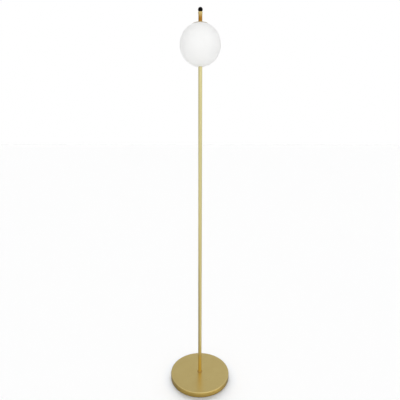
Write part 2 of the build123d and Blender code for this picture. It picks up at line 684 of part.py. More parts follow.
# Ceramic holder: a flange with two screws, a recess for the bulb's foot and two pin holes.
pin_places = GridLocations(0, PIN_PITCH, 1, 2)
with BuildPart() as lamp_holder:
    with BuildSketch(level(bridge_top)):
        SlotOverall(HOLDER_FLANGE_LENGTH, HOLDER_FLANGE_WIDTH, rotation=90)
    extrude(amount=HOLDER_FLANGE_HEIGHT)
    with BuildSketch(level(bridge_top)):
        Circle(HOLDER_RADIUS)
    extrude(amount=HOLDER_HEIGHT)
    fillet(lamp_holder.edges().group_by(Axis.Z)[-1], HOLDER_EDGE_RADIUS)
    with BuildSketch(level(holder_top)):
        RectangleRounded(
            BULB_FOOT_WIDTH + 2 * BULB_FIT, BULB_FOOT_LENGTH + 2 * BULB_FIT, BULB_FOOT_CORNER + BULB_FIT
        )
    extrude(amount=-HOLDER_RECESS_DEPTH, mode=Mode.SUBTRACT)
    with BuildSketch(level(recess_floor)):
        with pin_places:
            Circle(PIN_RADIUS + BULB_FIT)
    extrude(amount=-PIN_LENGTH, mode=Mode.SUBTRACT)
    with BuildSketch(level(bridge_top)):
        with holder_screw_places:
            Circle(HOLDER_SCREW_RADIUS + THREAD_FIT)
    extrude(amount=HOLDER_FLANGE_HEIGHT, mode=Mode.SUBTRACT)
write(lamp_holder, "lamp_holder")

flange_face = bridge_top + HOLDER_FLANGE_HEIGHT
with BuildPart() as holder_screws:
    with BuildSketch(level(flange_face)):
        with holder_screw_places:
            Circle(HOLDER_SCREW_HEAD_RADIUS)
    extrude(amount=HOLDER_SCREW_HEAD_HEIGHT)
    fillet(holder_screws.edges().group_by(Axis.Z)[-1], HOLDER_SCREW_HEAD_HEIGHT / 2)
    with BuildSketch(level(flange_face)):
        with holder_screw_places:
            Circle(HOLDER_SCREW_RADIUS)
    extrude(amount=-(HOLDER_FLANGE_HEIGHT + 2 * BRIDGE_THICKNESS))
    with BuildSketch(level(flange_face + HOLDER_SCREW_HEAD_HEIGHT)):
        with holder_screw_places:
            Rectangle(2 * HOLDER_SCREW_RADIUS, CROSS_WIDTH)
            Rectangle(CROSS_WIDTH, 2 * HOLDER_SCREW_RADIUS)
    extrude(amount=-CROSS_DEPTH, mode=Mode.SUBTRACT)
write(holder_screws, "holder_screws")

# ---------------------------------------------------------------- bulb
with BuildPart() as bulb_foot:
    with BuildSketch(level(bulb_foot_low)):
        RectangleRounded(BULB_FOOT_WIDTH, BULB_FOOT_LENGTH, BULB_FOOT_CORNER)
    extrude(amount=BULB_FOOT_HEIGHT)
write(bulb_foot, "bulb_foot")

with BuildPart() as bulb_pins:
    with BuildSketch(level(bulb_foot_low - PIN_LENGTH)):
        with pin_places:
            Circle(PIN_RADIUS)
    extrude(amount=PIN_LENGTH)
    fillet(bulb_pins.edges().group_by(Axis.Z)[0], PIN_RADIUS / 2)
write(bulb_pins, "bulb_pins")

# Frosted envelope: a thin shell with a neck and a round end, open below.
dome_centre = bulb_low + BULB_LENGTH - BULB_RADIUS
shoulder = bulb_low + BULB_RADIUS / 2
with BuildPart() as bulb_envelope:
    with BuildSketch(upright()):
        with BuildLine():
            Polyline(
                (BULB_NECK_RADIUS - BULB_WALL, bulb_low),
                (BULB_NECK_RADIUS, bulb_low),
                (BULB_RADIUS, shoulder),
                (BULB_RADIUS, dome_centre),
            )
            CenterArc((0, dome_centre), BULB_RADIUS, 0, 90)
            Line((0, dome_centre + BULB_RADIUS), (0, dome_centre + BULB_RADIUS - BULB_WALL))
            CenterArc((0, dome_centre), BULB_RADIUS - BULB_WALL, 0, 90)
            Polyline(
                (BULB_RADIUS - BULB_WALL, dome_centre),
                (BULB_RADIUS - BULB_WALL, shoulder),
                (BULB_NECK_RADIUS - BULB_WALL, bulb_low),
            )
        make_face()
    revolve(axis=Axis.Z)
write(bulb_envelope, "bulb_envelope")

# Board with light chips on both faces, standing on the foot.
chip_centre = bulb_low + CORE_LENGTH / 2
with BuildPart() as bulb_core:
    with BuildSketch(level(bulb_low)):
        Rectangle(CORE_THICKNESS, CORE_WIDTH)
    extrude(amount=CORE_LENGTH)
    for face, direction in ((CORE_THICKNESS / 2, 1), (-CORE_THICKNESS / 2, -1)):
        with BuildSketch(Plane(origin=(face, 0, chip_centre), x_dir=(0, 1, 0), z_dir=(direction, 0, 0))):
            with GridLocations(CHIP_PITCH, CHIP_PITCH, 2, CHIP_ROWS):
                Rectangle(CHIP_SIZE, CHIP_SIZE)
        extrude(amount=CHIP_HEIGHT)
write(bulb_core, "bulb_core")

# ================================================================ cap, stem and ball
# Spun cap: follows the globe, with a flat for the stem in its middle.
with BuildPart() as globe_cap:
    cap_hole = STUD_RADIUS + CAP_HOLE_CLEARANCE
    flat_under = cap_under - globe_height
    flat_inner = sqrt(cap_inner_radius**2 - flat_under**2)
    rim_inner = CAP_RADIUS * cap_inner_radius / cap_outer_radius
    rim_middle = Vector(CAP_RADIUS, sphere_height(cap_outer_radius, CAP_RADIUS)) * (
        (cap_inner_radius + cap_outer_radius) / 2 / cap_outer_radius
    )
    rim_tip = rim_middle + Vector(rim_middle.Y, -rim_middle.X).normalized() * CAP_THICKNESS / 2
    with BuildSketch(upright(globe_height)):
        with BuildLine():
            Polyline(
                (flat_inner, flat_under),
                (cap_hole, flat_under),
                (cap_hole, cap_top - globe_height),
                (CAP_FLAT_RADIUS, cap_top - globe_height),
            )
            sphere_arc(cap_outer_radius, CAP_FLAT_RADIUS, CAP_RADIUS)
            ThreePointArc(
                (CAP_RADIUS, sphere_height(cap_outer_radius, CAP_RADIUS)),
                rim_tip,
                (rim_inner, sphere_height(cap_inner_radius, rim_inner)),
            )
            sphere_arc(cap_inner_radius, rim_inner, flat_inner)
        make_face()
    revolve(axis=Axis.Z)
write(globe_cap, "globe_cap")

# Soft ring: a thin flange under the cap and a skirt that centres it in the opening.
with BuildPart() as cap_gasket:
    with BuildSketch(upright(globe_height)):
        with BuildLine():
            Polyline(
                (gasket_skirt_inner, sphere_height(gasket_outer_radius, gasket_skirt_inner)),
                (gasket_skirt_inner, gasket_low),
                (gasket_skirt_outer, gasket_low),
                (gasket_skirt_outer, sphere_height(gasket_inner_radius, gasket_skirt_outer)),
            )
            sphere_arc(gasket_inner_radius, gasket_skirt_outer, GASKET_FLANGE_RADIUS)
            Line(
                (GASKET_FLANGE_RADIUS, sphere_height(gasket_inner_radius, GASKET_FLANGE_RADIUS)),
                (GASKET_FLANGE_RADIUS, sphere_height(gasket_outer_radius, GASKET_FLANGE_RADIUS)),
            )
            sphere_arc(gasket_outer_radius, GASKET_FLANGE_RADIUS, gasket_skirt_inner)
        make_face()
    revolve(axis=Axis.Z)
write(cap_gasket, "cap_gasket")

stem_washer = ring(cap_top, stem_foot, STEM_WASHER_RADIUS, STUD_RADIUS + CAP_HOLE_CLEARANCE)
write(stem_washer, "stem_washer")

# Turned stem: threaded bore below, a flared rim and a round seat for the ball above.
with BuildPart() as top_stem:
    stem_bore = STUD_RADIUS + THREAD_FIT
    seat_edge = sqrt(cup_radius**2 - (ball_height - stem_rim) ** 2)
    seat_middle = (seat_edge + ball_hole_radius) / 2
    flare_start = stem_foot + STEM_FLARE_START
    stud_hole_floor = cup_floor - BALL_STUD_GRIP - BALL_HOLE_SPARE
    with BuildSketch(upright()):
        with BuildLine():
            Polyline(
                (0, stem_foot + STEM_BORE_DEPTH),
                (stem_bore, stem_foot + STEM_BORE_DEPTH),
                (stem_bore, stem_foot),
                (STEM_RADIUS - STEM_CHAMFER, stem_foot),
                (STEM_RADIUS, stem_foot + STEM_CHAMFER),
                (STEM_RADIUS, flare_start),
            )
            TangentArc(
                (STEM_RADIUS, flare_start), (STEM_RIM_RADIUS, stem_rim - STEM_CHAMFER), tangent=(0, 1)
            )
            Polyline(
                (STEM_RIM_RADIUS, stem_rim - STEM_CHAMFER),
                (STEM_RIM_RADIUS - STEM_CHAMFER, stem_rim),
                (seat_edge, stem_rim),
            )
            ThreePointArc(
                (seat_edge, stem_rim),
                (seat_middle, ball_height - sphere_height(cup_radius, seat_middle)),
                (ball_hole_radius, cup_floor),
            )
            Polyline(
                (ball_hole_radius, cup_floor),
                (ball_hole_radius, stud_hole_floor),
                (0, stud_hole_floor),
                (0, stem_foot + STEM_BORE_DEPTH),
            )
        make_face()
    revolve(axis=Axis.Z)
write(top_stem, "top_stem")

with BuildPart() as finial_ball:
    with Locations((0, 0, ball_height)):
        Sphere(ball_radius)
    with BuildSketch(level(ball_height - ball_radius)):
        Circle(ball_hole_radius)
    extrude(amount=BALL_STUD_GRIP + BALL_HOLE_SPARE, mode=Mode.SUBTRACT)
write(finial_ball, "finial_ball")

with BuildPart() as ball_stud:
    with BuildSketch(level(cup_floor - BALL_STUD_GRIP)):
        Circle(BALL_STUD_RADIUS)
    extrude(amount=ball_height - ball_radius + BALL_STUD_GRIP - cup_floor + BALL_STUD_GRIP)
    chamfer(ball_stud.edges().filter_by(GeomType.CIRCLE), NIPPLE_CHAMFER)
write(ball_stud, "ball_stud")

print(f"lamp height {ball_height + ball_radius:.1f} mm, globe centre {globe_height:.1f} mm")
print(f"wire gap {WIRE_GAP:.2f} mm, wire bend {WIRE_BEND:.1f} mm, cap top {cap_top:.2f} mm")
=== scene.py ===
from math import pi, radians

import bpy
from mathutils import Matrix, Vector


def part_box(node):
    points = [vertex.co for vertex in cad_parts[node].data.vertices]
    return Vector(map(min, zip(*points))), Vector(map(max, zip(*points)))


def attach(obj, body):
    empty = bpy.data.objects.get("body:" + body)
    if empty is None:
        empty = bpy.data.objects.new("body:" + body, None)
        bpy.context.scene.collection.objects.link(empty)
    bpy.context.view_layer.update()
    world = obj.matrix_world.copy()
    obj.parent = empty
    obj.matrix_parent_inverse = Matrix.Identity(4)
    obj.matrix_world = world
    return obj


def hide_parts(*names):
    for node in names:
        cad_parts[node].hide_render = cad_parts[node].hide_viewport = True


# Globe floor lamp: finishes for the pieces of the fixed frame, the threaded stud, and a plain
# pale studio. Metres where nothing else is said, +Z up, the pole on the Z axis, the front
# towards -Y.

MM = 0.001

# camera, where the photograph was taken from
CAMERA_PLACE = (-0.0007, -1.310, 1.058)
CAMERA_TILT = 11.31  # degrees below level
CAMERA_ROLL = -0.08  # degrees
CAMERA_LENS = 30.19
SENSOR_WIDTH = 36.0

# floor; reaches are counted from the pole
FLOOR_DROP = 0.3 * MM  # below the pad
FLOOR_SIZE = 60.0
FLOOR_PAINT = (0.88, 0.88, 0.88, 1.0)
FLOOR_GLOW = 0.03  # what the floor adds to its own light where it is seen
FLOOR_HOLE = 0.121  # hidden hole under the base, which lets the room's light reach its underside
SHADE_PAINT = (0.80, 0.84, 0.90, 1.0)  # near the base; it evens out the brass's yellow light
SHADE_REACH = 0.145
SHADE_BLUR = 0.03

# how much dimmer metal sees the floor: on the left out to a distance, behind the lamp all over,
# and beside the base on its right and left
LEFT_DIM = 0.4
LEFT_REACH = 1.4
LEFT_BLUR = 1.1
BACK_DIM = 0.28
SIDE_BLUR = 0.13  # over this far to each side of the pole, left and back set in
BESIDE_REACH = 0.21
BESIDE_BLUR = 0.05
BESIDE_SIDE_BLUR = 0.02
BESIDE_RIGHT = 0.11
BESIDE_RIGHT_DIM = 0.45
BESIDE_LEFT = -0.10
BESIDE_LEFT_DIM = 0.15

# room
ROOM_LIGHT = 0.60  # level of the even light from all sides
ROOM_FRONT = (0.95, 1.17)  # level in front as metal sees it, at the horizon and higher up
ROOM_RISE = 0.25  # upward part of the direction where the higher level is reached
ROOM_BACK = 0.72  # level behind the lamp as metal sees it
ROOM_BLUR = 0.5  # half the width over which front turns into back
ROOM_RIGHT = 0.14  # added on the far right, taken off on the far left

# suns: level, then azimuth from the front towards the right, elevation and width in degrees
FRONT_SUN = (1.2, 4.0, 16.0, 90.0)
BACK_SUN = (0.45, -176.0, 30.0, 90.0)
FLOOR_SUN = (3.54, -178.0, 24.0, 84.0)  # gives the lamp's shadow on the floor

# places on the pieces that their finishes follow
TUBE_SEAMS = (0.0260, 0.4497, 0.8734, 1.2971)
SEAM_HALF_WIDTH = 0.9 * MM
SEAM_BLUR = 0.7 * MM
SEAM_WEAR = 0.25
TUBE_PALE_REFLECTION_HEIGHT = 1.05  # painted reflection: the tube is painted paler upwards, palest from here up
TUBE_WARM_REFLECTION_HEIGHT = 0.17  # below this height it is painted a warmer yellow, a painted reflection of the brass base
TUBE_WARM_REFLECTION_BLUR = 0.15
NO_BAND = (1.0, 0.0)
SKIRT_REFLECTION_BAND = (-1.0, 0.0195)  # the lower part of the base's skirt is painted a richer yellow, a painted reflection of the shaded floor beside it
COLLAR_SHADE_BAND = (-1.0, 1.0)  # the whole collar is painted duller and darker, as shade
STEM_REFLECTION_BAND = (1.4505, 1.472)  # between these heights the stem is painted deep gold, a painted reflection of the brass cap under it
STEM_REFLECTION_BLUR = 0.012
BASE_RIM = 126.2 * MM  # the lathe's pieces are a little worn outside these radii
COLLAR_RIM = 10.4 * MM
CAP_RIM = 28.4 * MM
STEM_RIM = 8.0 * MM
BASE_FOOT = 2.0 * MM  # and darker below these heights
COLLAR_FOOT = 22.4 * MM
NO_FOOT = 0.0
GLOBE_CENTRE = 1.3722
GLOBE_MIDDLE_RADIUS = 0.0732  # halfway through the glass
GLOBE_SHADE_HEIGHT = 1.34  # below this height the glass is painted a little greyer, as shade
GLOBE_SHADE_BLUR = 0.07
GLOBE_GLOW = 0.10  # light that the inner wall gives off
ENVELOPE_DENSE_HEIGHT = 1.348
ENVELOPE_DENSE_BLUR = 0.008
CHIP_SIDE = 0.95 * MM  # beyond these distances from the light board's middle: sides of the chips
CHIP_FACE = 1.38 * MM  # and their faces

# threads and the stud, in millimetres
THREAD_PITCH = 1.0
NIPPLE_THREAD_RADIUS = 4.9
BALL_STUD_THREAD_RADIUS = 2.0
BOSS_RADIUS = 6.0
BOSS_HEIGHT = 7.0
BOSS_CHAMFER = 0.4
WIRE_HOLE_RADIUS = 1.55
STUD_RADIUS = 2.95
STUD_ROOT = 2.40  # radius in the thread's grooves
STUD_CHAMFER = 0.6
THREAD_START = 1447.0
THREAD_TURNS = 13
THREAD_SINK = 0.15  # how far the ridge reaches into the stud
THREAD_FOOT = 0.06  # from the ridge's start up to the groove's radius
THREAD_FLANK = 0.44  # and up to the lower edge of its crest

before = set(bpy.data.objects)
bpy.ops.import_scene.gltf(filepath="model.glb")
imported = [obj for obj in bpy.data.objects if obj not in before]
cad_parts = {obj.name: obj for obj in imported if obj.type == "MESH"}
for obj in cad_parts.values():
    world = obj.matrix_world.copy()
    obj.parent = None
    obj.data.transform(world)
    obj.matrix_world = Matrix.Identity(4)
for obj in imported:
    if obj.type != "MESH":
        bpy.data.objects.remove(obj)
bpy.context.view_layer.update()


def tone(red, green, blue):
    """Linear colour of a paint that is given in the 0 to 255 steps of a screen."""
    steps = [value / 255 for value in (red, green, blue)]
    linear = [s / 12.92 if s <= 0.04045 else ((s + 0.055) / 1.055) ** 2.4 for s in steps]
    return (*linear, 1.0)


BLACK = tone(0, 0, 0)
WHITE = tone(255, 255, 255)
BRASS_DEEP = tone(199, 176, 111)
BRASS_FAIR = tone(213, 194, 131)
# the next three tones are painted reflections on the brass, the fourth is painted shade
BRASS_PALE_REFLECTION = tone(211, 203, 150)
BRASS_WARM_REFLECTION = tone(217, 187, 102)
BRASS_GOLD_REFLECTION = tone(154, 100, 6)
BRASS_SHADED = tone(182, 147, 78)
BRASS_TARNISH = tone(150, 118, 62)


# ---------------------------------------------------------------- shader maths
class Value:
    """One socket of a finish. Arithmetic on it adds Math nodes."""

    def __init__(self, finish, socket):
        self.finish = finish
        self.socket = socket

    def maths(self, operation, *values):
        return self.finish.node("ShaderNodeMath", {"operation": operation}, *values)

    def __add__(self, other):
        return self.maths("ADD", self, other)

    def __radd__(self, other):
        return self.maths("ADD", other, self)

    def __rsub__(self, other):
        return self.maths("SUBTRACT", other, self)

    def __sub__(self, other):
        return self.maths("SUBTRACT", self, other)

    def __mul__(self, other):
        return self.maths("MULTIPLY", self, other)

    def __truediv__(self, other):
        return self.maths("DIVIDE", self, other)

    def __abs__(self):
        return self.maths("ABSOLUTE", self)

    def root(self):
        return self.maths("SQRT", self)

    def fraction(self):
        return self.maths("FRACT", self)

    def larger(self, other):
        return self.maths("MAXIMUM", self, other)

    def above(self, limit, blur):
        """0 below the limit, 1 above it, with a soft edge."""
        settings = {"interpolation_type": "SMOOTHSTEP"}
        return self.finish.node("ShaderNodeMapRange", settings, self, limit - blur, limit + blur)

    def ramp(self, start, end):
        """0 at the start, 1 at the end, even between them."""
        return self.finish.node("ShaderNodeMapRange", {}, self, start, end)

    def between(self, low, high):
        """Carries 0..1 over to low..high."""
        return self.finish.node("ShaderNodeMapRange", {}, self, 0.0, 1.0, low, high)


class Finish:
    """A node tree in the making, with Object coordinates at hand."""

    def __init__(self, tree):
        self.tree = tree

    def node(self, kind, settings, *inputs, output=0, **named):
        """Any node: its settings come first, then its sockets by order or by name."""
        made = self.tree.nodes.new(kind)
        for name, value in settings.items():
            setattr(made, name, value)
        for number, value in enumerate(inputs):
            self.join(made.inputs[number], value)
        for name, value in named.items():
            self.join(made.inputs[name.replace("_", " ")], value)
        return Value(self, made.outputs[output])

    def join(self, socket, value):
        if isinstance(value, Value):
            self.tree.links.new(value.socket, socket)
        else:
            socket.default_value = value

    def parts(self, vector):
        """The three parts of a vector."""
        return [self.node("ShaderNodeSeparateXYZ", {}, vector, output=axis) for axis in "XYZ"]

    def place(self):
        """x, y and z of the Object coordinates, in metres."""
        return self.parts(self.node("ShaderNodeTexCoord", {}, output="Object"))

    def rays(self):
        """1 for rays from the camera, in reflections and through clear pieces, each by itself."""
        kinds = ("Is Camera Ray", "Is Glossy Ray", "Is Transmission Ray")
        return [self.node("ShaderNodeLightPath", {}, output=kind) for kind in kinds]

    def vector(self, x, y, z):
        return self.node("ShaderNodeCombineXYZ", {}, x, y, z)

    def noise(self, vector, scale, detail, roughness=0.5):
        return self.node(
            "ShaderNodeTexNoise", {}, Vector=vector, Scale=scale, Detail=detail, Roughness=roughness
        )

    def crystals(self, vector, scale):
        return self.node("ShaderNodeTexVoronoi", {}, Vector=vector, Scale=scale)

    def mix(self, share, first, second):
        """Blend of two colours."""
        made = self.tree.nodes.new("ShaderNodeMix")
        made.data_type = "RGBA"
        for number, value in ((0, share), (6, first), (7, second)):
            self.join(made.inputs[number], value)
        return Value(self, made.outputs[2])

    def bump(self, height, distance, strength):
        return self.node("ShaderNodeBump", {}, Height=height, Distance=distance, Strength=strength)


class Surface(Finish):
    """The finish of a solid piece."""

    def __init__(self, name, **fixed):
        self.material = bpy.data.materials.new(name)
        self.material.use_nodes = True
        super().__init__(self.material.node_tree)
        self.shader = self.tree.nodes["Principled BSDF"]
        self.set(**fixed)

    def set(self, **values):
        for name, value in values.items():
            self.join(self.shader.inputs[name.replace("_", " ")], value)


# ---------------------------------------------------------------- finishes
def brass_look(surface, streaks, clouds, wear, painted_share, painted_tone):
    """Lacquered satin brass: fine streaks, soft clouds of tone, and a darker tone where wear is 1.

    The given share of it takes the painted tone, which stands for reflections and shade painted
    onto the brass.
    """
    colour = surface.mix(clouds.between(0.15, 0.85), BRASS_DEEP, BRASS_FAIR)
    # the painted reflections and shade
    colour = surface.mix(painted_share, colour, painted_tone)
    colour = surface.mix(streaks.between(0.0, 0.22), colour, BRASS_DEEP)
    colour = surface.mix(wear * 0.6, colour, BRASS_TARNISH)
    surface.set(
        Metallic=1.0,
        Base_Color=colour,
        Roughness=streaks * 0.12 + wear * 0.15 + 0.24,
        Normal=surface.bump(streaks, 0.02 * MM, 0.35),
        Coat_Weight=0.12,
        Coat_Roughness=0.22,
    )


def tube_brass():
    """Brass tube, brushed along its length, a little worn at its seams, with painted reflections:
    paler towards its top and warmer near the base.
    """
    surface = Surface("tube_brass")
    x, y, z = surface.place()
    streaks = surface.noise(surface.vector(x * 3200, y * 3200, z * 22), 1.0, 3.0, 0.6)
    clouds = surface.noise(surface.vector(x * 30, y * 30, z * 7), 1.0, 2.0)
    wear = 0.0
    for seam in TUBE_SEAMS:
        wear = wear + (1 - abs(z - seam).above(SEAM_HALF_WIDTH, SEAM_BLUR)) * SEAM_WEAR
    # painted reflections: warmer near the base, paler upwards
    base_reflection = 1 - z.above(TUBE_WARM_REFLECTION_HEIGHT, TUBE_WARM_REFLECTION_BLUR)
    painted_tone = surface.mix(base_reflection, BRASS_PALE_REFLECTION, BRASS_WARM_REFLECTION)
    brass_look(surface, streaks, clouds, wear, z / TUBE_PALE_REFLECTION_HEIGHT + base_reflection, painted_tone)
    return surface.material


def turned_brass(name, rim, foot, painted_band=NO_BAND, blur=MM, painted_tone=BRASS_WARM_REFLECTION):
    """Brass turned on a lathe: rings round the Z axis, darker below the foot, wear at the rim.

    Between the band's two heights it has the given painted tone: painted reflection on the skirt
    and the stem, painted shade on the collar. The blur is that of the upper one.
    """
    surface = Surface(name)
    x, y, z = surface.place()
    radius = (x * x + y * y).root()
    rings = surface.noise(surface.vector(radius * 2600 + z * 2600, x * 9, y * 9), 1.0, 3.0, 0.6)
    clouds = surface.noise(surface.vector(x * 26, y * 26, z * 26), 1.0, 2.5)
    wear = 1 - z.above(foot, 1.2 * MM) + radius.above(rim, 0.8 * MM) * 0.10
    low, high = painted_band
    # share of the painted tone
    painted_band_share = z.above(low, MM) * (1 - z.above(high, blur))
    brass_look(surface, rings, clouds, wear, painted_band_share, painted_tone)
    return surface.material


def opal_glass():
    """White opal glass with a satin skin: milky clouds and a barely uneven surface.

    Its inner wall has a little light of its own, as much as passes through the glass from outside.
    """
    surface = Surface("opal_glass")
    x, y, z = surface.place()
    clouds = surface.noise(surface.vector(x, y, z), 26.0, 3.0)
    grain = surface.noise(surface.vector(x, y, z), 1400.0, 2.0)
    # painted shade: the lower part of the globe is painted greyer
    darker_below = (1 - z.above(GLOBE_SHADE_HEIGHT, GLOBE_SHADE_BLUR)) * 0.5
    rise = z - GLOBE_CENTRE
    reach = (x * x + y * y + rise * rise).root()
    inside = 1 - reach.above(GLOBE_MIDDLE_RADIUS, 0.2 * MM)
    colour = surface.mix(clouds.between(0.2, 0.8), tone(248, 248, 247), tone(244, 244, 243))
    surface.set(
        Base_Color=surface.mix(darker_below, colour, tone(240, 240, 239)),
        Roughness=grain * 0.10 + 0.38,
        Normal=surface.bump(grain + clouds * 4, 0.02 * MM, 0.3),
        Specular_IOR_Level=0.35,
        Emission_Color=surface.mix(inside * GLOBE_GLOW, BLACK, WHITE),
        Emission_Strength=1.0,
    )
    return surface.material


def black_gloss():
    """Black lacquered ball with faint polishing marks."""
    surface = Surface("black_gloss")
    x, y, z = surface.place()
    marks = surface.noise(surface.vector(x * 400, y * 400, z * 2600), 1.0, 2.0)
    surface.set(
        Base_Color=surface.mix(marks, tone(2, 2, 2), tone(6, 6, 6)),
        Roughness=marks * 0.08 + 0.34,
        Normal=surface.bump(marks, 0.01 * MM, 0.3),
        Specular_IOR_Level=0.04,
    )
    return surface.material


def thread_height(surface, x, y, z):
    """Ridges of a screw thread round the Z axis, from 0 in the groove to 1 on the crest."""
    turn = surface.node("ShaderNodeMath", {"operation": "ARCTAN2"}, y, x) / (2 * pi)
    return abs((z / (THREAD_PITCH * MM) - turn).fraction() * 2 - 1)


def zinc_steel(name, thread_radius=None):
    """Zinc-plated steel: pale grey with a faint crystal bloom, threaded outside where asked."""
    surface = Surface(name)
    x, y, z = surface.place()
    place = surface.vector(x, y, z)
    bloom = surface.crystals(place, 420.0)
    grain = surface.noise(place, 900.0, 3.0)
    height = grain * 0.15
    if thread_radius:
        outside = (x * x + y * y).root().above((thread_radius - 0.15) * MM, 0.02 * MM)
        height = height + thread_height(surface, x, y, z) * outside * 12
    surface.set(
        Metallic=1.0,
        Base_Color=surface.mix(bloom * 0.9, tone(205, 207, 208), tone(176, 179, 184)),
        Roughness=grain * 0.2 + bloom * 0.12 + 0.26,
        Normal=surface.bump(height, 0.03 * MM, 0.8),
    )
    return surface.material


def cast_iron():
    """Dark sand-cast iron under a thin sealing paint."""
    surface = Surface("cast_iron")
    place = surface.vector(*surface.place())
    sand = surface.noise(place, 700.0, 6.0, 0.7)
    lumps = surface.noise(place, 90.0, 3.0)
    surface.set(
        Base_Color=surface.mix(lumps, tone(46, 46, 48), tone(66, 64, 62)),
        Metallic=0.35,
        Roughness=sand * 0.25 + 0.55,
        Normal=surface.bump(sand + lumps, 0.25 * MM, 0.8),
    )
    return surface.material


def soft_rubber(name, light, dark, grain_scale, depth, roughness):
    """Rubber or silicone: a fine moulded grain on an even colour."""
    surface = Surface(name)
    place = surface.vector(*surface.place())
    grain = surface.noise(place, grain_scale, 4.0, 0.65)
    clouds = surface.noise(place, 60.0, 2.0)
    surface.set(
        Base_Color=surface.mix(grain * 0.5 + clouds * 0.5, dark, light),
        Roughness=grain * 0.15 + roughness,
        Normal=surface.bump(grain, depth, 0.7),
        Specular_IOR_Level=0.35,
    )
    return surface.material


def wire_insulation():
    """Silicone insulation: the wire on the left is brown, the one on the right is blue."""
    surface = Surface("wire_insulation")
    x, y, z = surface.place()
    grain = surface.noise(surface.vector(x, y, z), 1600.0, 2.0)
    colour = surface.mix(x.above(0.0, 0.05 * MM), tone(98, 58, 36), tone(44, 84, 140))
    surface.set(
        Base_Color=surface.mix(grain * 0.25, colour, tone(180, 176, 170)),
        Roughness=grain * 0.1 + 0.42,
        Normal=surface.bump(grain, 0.02 * MM, 0.4),
    )
    return surface.material


def steatite():
    """Unglazed lamp ceramic with a fine fired grain and a few dark specks."""
    surface = Surface("steatite")
    place = surface.vector(*surface.place())
    grain = surface.noise(place, 1800.0, 4.0, 0.7)
    specks = 1 - surface.crystals(place, 520.0).above(0.10, 0.03)
    colour = surface.mix(grain.between(0.2, 0.8), tone(236, 232, 222), tone(222, 217, 205))
    surface.set(
        Base_Color=surface.mix(specks * 0.35, colour, tone(150, 140, 126)),
        Roughness=grain * 0.15 + 0.55,
        Normal=surface.bump(grain, 0.03 * MM, 0.6),
    )
    return surface.material


def moulded_plastic():
    """Milky polyamide of the terminal block."""
    surface = Surface("moulded_plastic")
    place = surface.vector(*surface.place())
    flow = surface.noise(place, 160.0, 3.0)
    grain = surface.noise(place, 2200.0, 2.0)
    surface.set(
        Base_Color=surface.mix(flow, tone(226, 226, 218), tone(208, 207, 198)),
        Roughness=grain * 0.1 + 0.45,
        Normal=surface.bump(grain, 0.02 * MM, 0.5),
    )
    return surface.material


def frosted_envelope():
    """Frosted shell of the bulb, denser towards its foot."""
    surface = Surface("frosted_envelope")
    x, y, z = surface.place()
    frost = surface.noise(surface.vector(x, y, z), 2400.0, 2.0)
    darker_below = 1 - z.above(ENVELOPE_DENSE_HEIGHT, ENVELOPE_DENSE_BLUR)
    share = darker_below * 0.5 + frost * 0.3
    surface.set(
        Base_Color=surface.mix(share, tone(240, 240, 236), tone(222, 222, 216)),
        Roughness=frost * 0.12 + 0.42,
        Normal=surface.bump(frost, 0.02 * MM, 0.5),
    )
    return surface.material


def light_board():
    """White circuit board with yellow light chips that stand out from both faces."""
    surface = Surface("light_board")
    x, y, z = surface.place()
    grain = surface.noise(surface.vector(x, y, z), 2000.0, 2.0)
    chip = abs(x).above(CHIP_SIDE, 0.06 * MM)
    face = abs(x).above(CHIP_FACE, 0.01 * MM)
    colour = surface.mix(chip, tone(238, 238, 234), tone(214, 210, 200))
    surface.set(
        Base_Color=surface.mix(face, colour, tone(232, 196, 78)),
        Roughness=grain * 0.1 + 0.4,
        Normal=surface.bump(grain, 0.01 * MM, 0.4),
    )
    return surface.material


# ---------------------------------------------------------------- the threaded stud
def only(piece):
    """Makes a piece the one selected object."""
    bpy.ops.object.select_all(action="DESELECT")
    piece.select_set(True)
    bpy.context.view_layer.objects.active = piece


def lathe_profile(name, points):
    """A chain of edges through points (radius, height) in millimetres, drawn from one vertex."""
    radius, height = points[0]
    bpy.ops.object.select_all(action="DESELECT")
    bpy.ops.mesh.primitive_plane_add(size=MM, location=(radius * MM, 0, height * MM))
    piece = bpy.context.object
    piece.name = name
    bpy.ops.object.transform_apply(location=True)
    bpy.ops.object.mode_set(mode="EDIT")
    bpy.ops.mesh.select_all(action="SELECT")
    bpy.ops.mesh.merge(type="CENTER")
    for (r0, z0), (r1, z1) in zip(points, points[1:]):
        step = ((r1 - r0) * MM, 0, (z1 - z0) * MM)
        bpy.ops.mesh.extrude_region_move(TRANSFORM_OT_translate={"value": step})
    bpy.ops.object.mode_set(mode="OBJECT")
    return piece


def close_up(piece):
    """Merges doubles and turns the faces outwards."""
    only(piece)
    bpy.ops.object.mode_set(mode="EDIT")
    bpy.ops.mesh.select_all(action="SELECT")
    bpy.ops.mesh.remove_doubles(threshold=0.002 * MM)
    bpy.ops.mesh.normals_make_consistent(inside=False)
    bpy.ops.object.mode_set(mode="OBJECT")


def turn(piece, steps):
    """Spins a profile round the Z axis."""
    only(piece)
    bpy.ops.object.mode_set(mode="EDIT")
    bpy.ops.mesh.select_all(action="SELECT")
    bpy.ops.mesh.spin(steps=steps, angle=2 * pi, center=(0, 0, 0), axis=(0, 0, 1))
    bpy.ops.object.mode_set(mode="OBJECT")
    close_up(piece)


